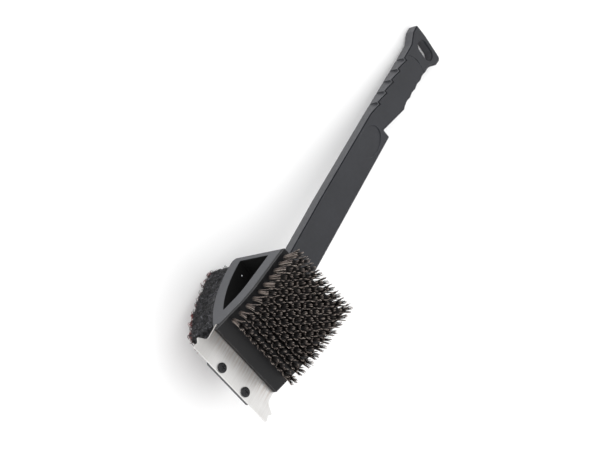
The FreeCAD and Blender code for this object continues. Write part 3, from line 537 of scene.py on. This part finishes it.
# %% Nylon finish
def nylon():
    f = Finish("bristle_nylon")
    height = f.node("ShaderNodeAttribute", {"attribute_name": "height"}, output="Fac")
    tone = f.node("ShaderNodeAttribute", {"attribute_name": "tone"}, output="Fac")
    rim = f.node("ShaderNodeAttribute", {"attribute_name": "rim"}, output="Fac")
    ragged_light_edge = f.noise(0.0035, detail=4)
    streak = f.noise(0.0006, detail=2)
    # Painted light and shade: outer filaments of a tuft are pale near their tips, the inner ones and the
    # roots near-black.
    outer = f.between(rim, 0.80, 0.96)
    across = f.along((0, 1, 0))
    # Painted light: the outermost columns are pale from low down.
    outer_column_painted_light = f.between(across.calculate("ABSOLUTE", across), 0.0355, 0.0385)
    painted_tip_light = f.between(height + (ragged_light_edge - 0.5) * 0.2, 0.80, 1.02)
    painted_side_light = f.between(height + (ragged_light_edge - 0.5) * 0.2, 0.08, 0.50)
    lit = (painted_tip_light + (painted_side_light - painted_tip_light) * outer_column_painted_light) * outer
    pale = f.mix(f.between(tone, 0.0, 1.0), (0.110, 0.083, 0.073), (0.34, 0.285, 0.25))
    base = f.mix((lit + (streak - 0.5) * 0.25).clamped(), (0.0045, 0.003, 0.0028), pale)
    base = f.mix(f.between(tone, 0.90, 0.95) * lit * 0.6, base, (0.50, 0.44, 0.39))
    rough = (streak - 0.5) * 0.2 + 0.42 + (1 - lit) * 0.25
    streaked = f.bump(streak, 0.00003, 0.5)
    return f.done(base_color=base, roughness=rough, normal=streaked, specular_ior_level=0.45)


bristle_nylon = nylon()
print("nylon", bristle_nylon.name)

# %% Rows of tufts
tuft_lean = 0.02


def make_row(name, seed):
    dice = random.Random(seed)
    feet, way, _ = tuft_places(name)
    stand = way.to_track_quat("Z", "Y").to_matrix().to_4x4()
    work = bmesh.new()
    for foot in feet:
        before = len(work.verts)
        work.from_mesh(dice.choice(tufts))
        work.verts.ensure_lookup_table()
        lean = Matrix.Rotation(dice.uniform(-tuft_lean, tuft_lean), 4, "X")
        lean = lean @ Matrix.Rotation(dice.uniform(-tuft_lean, tuft_lean), 4, "Y")
        spin = Matrix.Rotation(dice.randrange(4) * math.pi / 2 + dice.uniform(-0.15, 0.15), 4, "Z")
        matrix = Matrix.Translation(foot) @ stand @ lean @ spin
        bmesh.ops.transform(work, matrix=matrix, verts=work.verts[before:])
    mesh = bpy.data.meshes.new(name + "_filaments")
    work.to_mesh(mesh)
    work.free()
    mesh.materials.append(bristle_nylon)
    mesh.shade_smooth()
    row = bpy.data.objects.new(name + "_filaments", mesh)
    bpy.context.scene.collection.objects.link(row)
    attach(row, "root")
    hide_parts(name)
    return row


rows = [make_row(name, 100 + i) for i, name in enumerate(bristle_rows)]
print("rows", len(rows), "faces", sum(len(r.data.polygons) for r in rows))

# %% [markdown]
# ## Scouring pad
# The pad is coarse nonwoven: stiff black fibres glued where they cross, full of holes, cut to a block
# that bends round the head. The block itself is remeshed from the CAD solid and roughened with noise, so
# its faces and cut ends are lumpy and open. Over it lies a tangle of real curved fibres, which gives the
# pad its ragged outline.

# %% The pad's body
bend_centre = Vector((0.10125, 0, 0.15167))
bend_inside = 0.1283
pad_lump = 0.0018
pad_open_work = 0.0024
pad_grit = 0.0008


def pad_body(voxel):
    """The CAD solid, merged and remeshed, then roughened with three sizes of noise."""
    work = bmesh.new()
    work.from_mesh(nodes["scouring_pad"].data)
    bmesh.ops.remove_doubles(work, verts=work.verts, dist=1e-6)
    bmesh.ops.recalc_face_normals(work, faces=work.faces)
    plain = bpy.data.meshes.new("pad_plain")
    work.to_mesh(plain)
    work.free()
    holder = bpy.data.objects.new("pad_plain", plain)
    bpy.context.scene.collection.objects.link(holder)
    remesh = holder.modifiers.new("remesh", "REMESH")
    remesh.mode = "VOXEL"
    remesh.voxel_size = voxel
    bpy.context.view_layer.update()
    mesh = bpy.data.meshes.new_from_object(holder.evaluated_get(bpy.context.evaluated_depsgraph_get()))
    bpy.data.objects.remove(holder)
    normals = [v.normal.copy() for v in mesh.vertices]
    for vertex, normal in zip(mesh.vertices, normals):
        at = vertex.co.copy()
        out = Vector((at.x - bend_centre.x, 0, at.z - bend_centre.z)).length - bend_inside
        free = min(max((out - 0.001) / 0.006, 0.0), 1.0)
        lump = noise.noise(at * 110) * pad_lump
        open_work = (noise.noise(at * 300) - 0.1) * pad_open_work
        grit = noise.noise(at * 700 + Vector((5, 7, 9))) * pad_grit
        vertex.co = at + normal * ((lump + open_work + grit) * free - 0.0005)
        vertex.co.z = max(vertex.co.z, 0.0001)
    mesh.name = "scouring_pad_body"
    return mesh


body_mesh = pad_body(0.0011)
print("pad body faces", len(body_mesh.polygons))

# %% [markdown]
# A fibre is a short hooked piece of thick nylon. A handful of shapes is enough, because thousands of them
# lie at every angle. Each lies flat on the pad where it starts, with its curl lifting it clear by under a
# millimetre.

# %% Curved fibres
fibre_radius = 0.00034


def make_fibre(seed):
    """One curved fibre that starts at the origin and curls in the XY plane, rising a little in Z."""
    dice = random.Random(seed)
    length = dice.uniform(0.0030, 0.0060)
    curl = dice.uniform(0.0012, 0.0026)
    rise = dice.uniform(0.0002, 0.0008)
    work = bmesh.new()
    bmesh.ops.create_cone(
        work, cap_ends=True, segments=3, radius1=fibre_radius, radius2=fibre_radius * 0.7, depth=1,
        matrix=Matrix.Translation((0, 0, 0.5)),
    )
    long_edges = [e for e in work.edges if abs(e.verts[0].co.z - e.verts[1].co.z) > 0.5]
    bmesh.ops.subdivide_edges(work, edges=long_edges, cuts=6, use_grid_fill=True)
    for vertex in work.verts:
        t = vertex.co.z
        angle = t * length / curl
        side, thick = vertex.co.x, vertex.co.y
        radius = curl + side
        lift = rise * math.sin(math.pi * t) + thick
        vertex.co = Vector((radius * math.cos(angle) - curl, radius * math.sin(angle), lift))
    mesh = bpy.data.meshes.new("fibre")
    bmesh.ops.recalc_face_normals(work, faces=work.faces)
    work.to_mesh(mesh)
    work.free()
    return mesh


def scatter_fibres(count, per_batch=60):
    """Lays fibres over the pad's body, only on faces that are free, spread by their area."""
    dice = random.Random(11)
    shapes = [make_fibre(seed) for seed in range(9)]
    faces = [p for p in body_mesh.polygons if pad_face_is_free(p)]
    areas = np.cumsum([p.area for p in faces])
    whole = bmesh.new()
    placed = 0
    while placed < count:
        batch = bmesh.new()
        tone_layer = batch.verts.layers.float.new("tone")
        for _ in range(per_batch):
            face = faces[int(np.searchsorted(areas, dice.random() * areas[-1]))]
            normal = face.normal
            start = face.center - normal * 0.0003
            before = len(batch.verts)
            batch.from_mesh(dice.choice(shapes))
            batch.verts.ensure_lookup_table()
            fresh = batch.verts[before:]
            lean = Matrix.Rotation(dice.gauss(0, 0.10), 4, "X") @ Matrix.Rotation(dice.gauss(0, 0.10), 4, "Y")
            spin = Matrix.Rotation(dice.uniform(0, 2 * math.pi), 4, "Z")
            stand = normal.to_track_quat("Z", "Y").to_matrix().to_4x4()
            bmesh.ops.transform(batch, matrix=Matrix.Translation(start) @ stand @ spin @ lean, verts=fresh)
            tone = dice.random()
            for vertex in fresh:
                vertex[tone_layer] = tone
                vertex.co.z = max(vertex.co.z, 0.0001)
            placed += 1
        piece = bpy.data.meshes.new("fibre_batch")
        batch.to_mesh(piece)
        batch.free()
        whole.from_mesh(piece)
        bpy.data.meshes.remove(piece)
    mesh = bpy.data.meshes.new("scouring_pad_fibres")
    whole.to_mesh(mesh)
    whole.free()
    return mesh


def pad_face_is_free(face):
    """True where nothing of the head lies over this part of the pad."""
    at = face.center
    out = Vector((at.x - bend_centre.x, 0, at.z - bend_centre.z)).length - bend_inside
    return out > 0.002


fibre_mesh = scatter_fibres(6000)
print("fibres", len(fibre_mesh.polygons), "faces")

# %% Pad finish
pad_mesh = 0.0024


def scouring_fibre(name, loose):
    f = Finish(name)
    cloud = f.noise(0.008, detail=4)
    speck = f.noise(0.0009, detail=3, rough=0.7)
    mesh = f.mapped((pad_mesh, pad_mesh, pad_mesh))
    settings = {"feature": "DISTANCE_TO_EDGE"}
    holes = f.node("ShaderNodeTexVoronoi", settings, {"Vector": mesh, "Scale": 1}, "Distance")
    strands = 1 - f.between(holes, 0.02, 0.16)
    out_x = f.along((1, 0, 0)) - bend_centre.x
    out_z = f.along((0, 0, 1)) - bend_centre.z
    reach = out_x.calculate("SQRT", out_x * out_x + out_z * out_z) - bend_inside
    outermost = f.between(reach + (cloud - 0.5) * 0.004, 0.0228, 0.0262)
    rust = outermost * f.between(f.noise(0.005, detail=3), 0.42, 0.60)
    base = f.mix(f.between(speck, 0.46, 0.66), (0.0010, 0.0010, 0.0014), (0.060, 0.060, 0.070))
    if loose:
        tone = f.node("ShaderNodeAttribute", {"attribute_name": "tone"}, output="Fac")
        # Painted highlight: a random few loose fibres are paler grey, as glints.
        base = f.mix(f.between(tone, 0.70, 1.0) * 0.9, base, (0.15, 0.15, 0.17))
    else:
        # Painted shade: the open holes between the strands are near-black.
        base = f.mix(strands * 0.85, (0.0015, 0.0015, 0.002), base)
    base = f.mix(rust * (0.8 if loose else 0.4), base, (0.26, 0.030, 0.020))
    rough = (speck - 0.5) * 0.3 + 0.5
    height = strands * (0.0 if loose else 1.0) + speck * 0.6
    return f.done(base_color=base, roughness=rough, normal=f.bump(height, 0.0002 if loose else 0.0007, 0.8))


def add_piece(name, mesh, material):
    mesh.materials.clear()
    mesh.materials.append(material)
    mesh.shade_smooth()
    piece = bpy.data.objects.new(name, mesh)
    bpy.context.scene.collection.objects.link(piece)
    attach(piece, "root")
    return piece


pad = add_piece("scouring_pad_body", body_mesh, scouring_fibre("scouring_fibre", False))
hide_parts("scouring_pad")
loose = add_piece("scouring_pad_fibres", fibre_mesh, scouring_fibre("loose_fibre", True))
print("pad pieces", pad.name, loose.name)

# %% Floor finish
def floor_finish():
    f = Finish("floor_paper")
    cloud = f.noise(0.4, detail=2)
    fine = f.noise(0.002, detail=2)
    base = f.mix(cloud, (0.93, 0.93, 0.93), (0.96, 0.96, 0.96))
    return f.done(base_color=base, roughness=0.9 + (fine - 0.5) * 0.05, specular_ior_level=0.1)


floor.data.materials.append(floor_finish())
print("floor", floor.name)
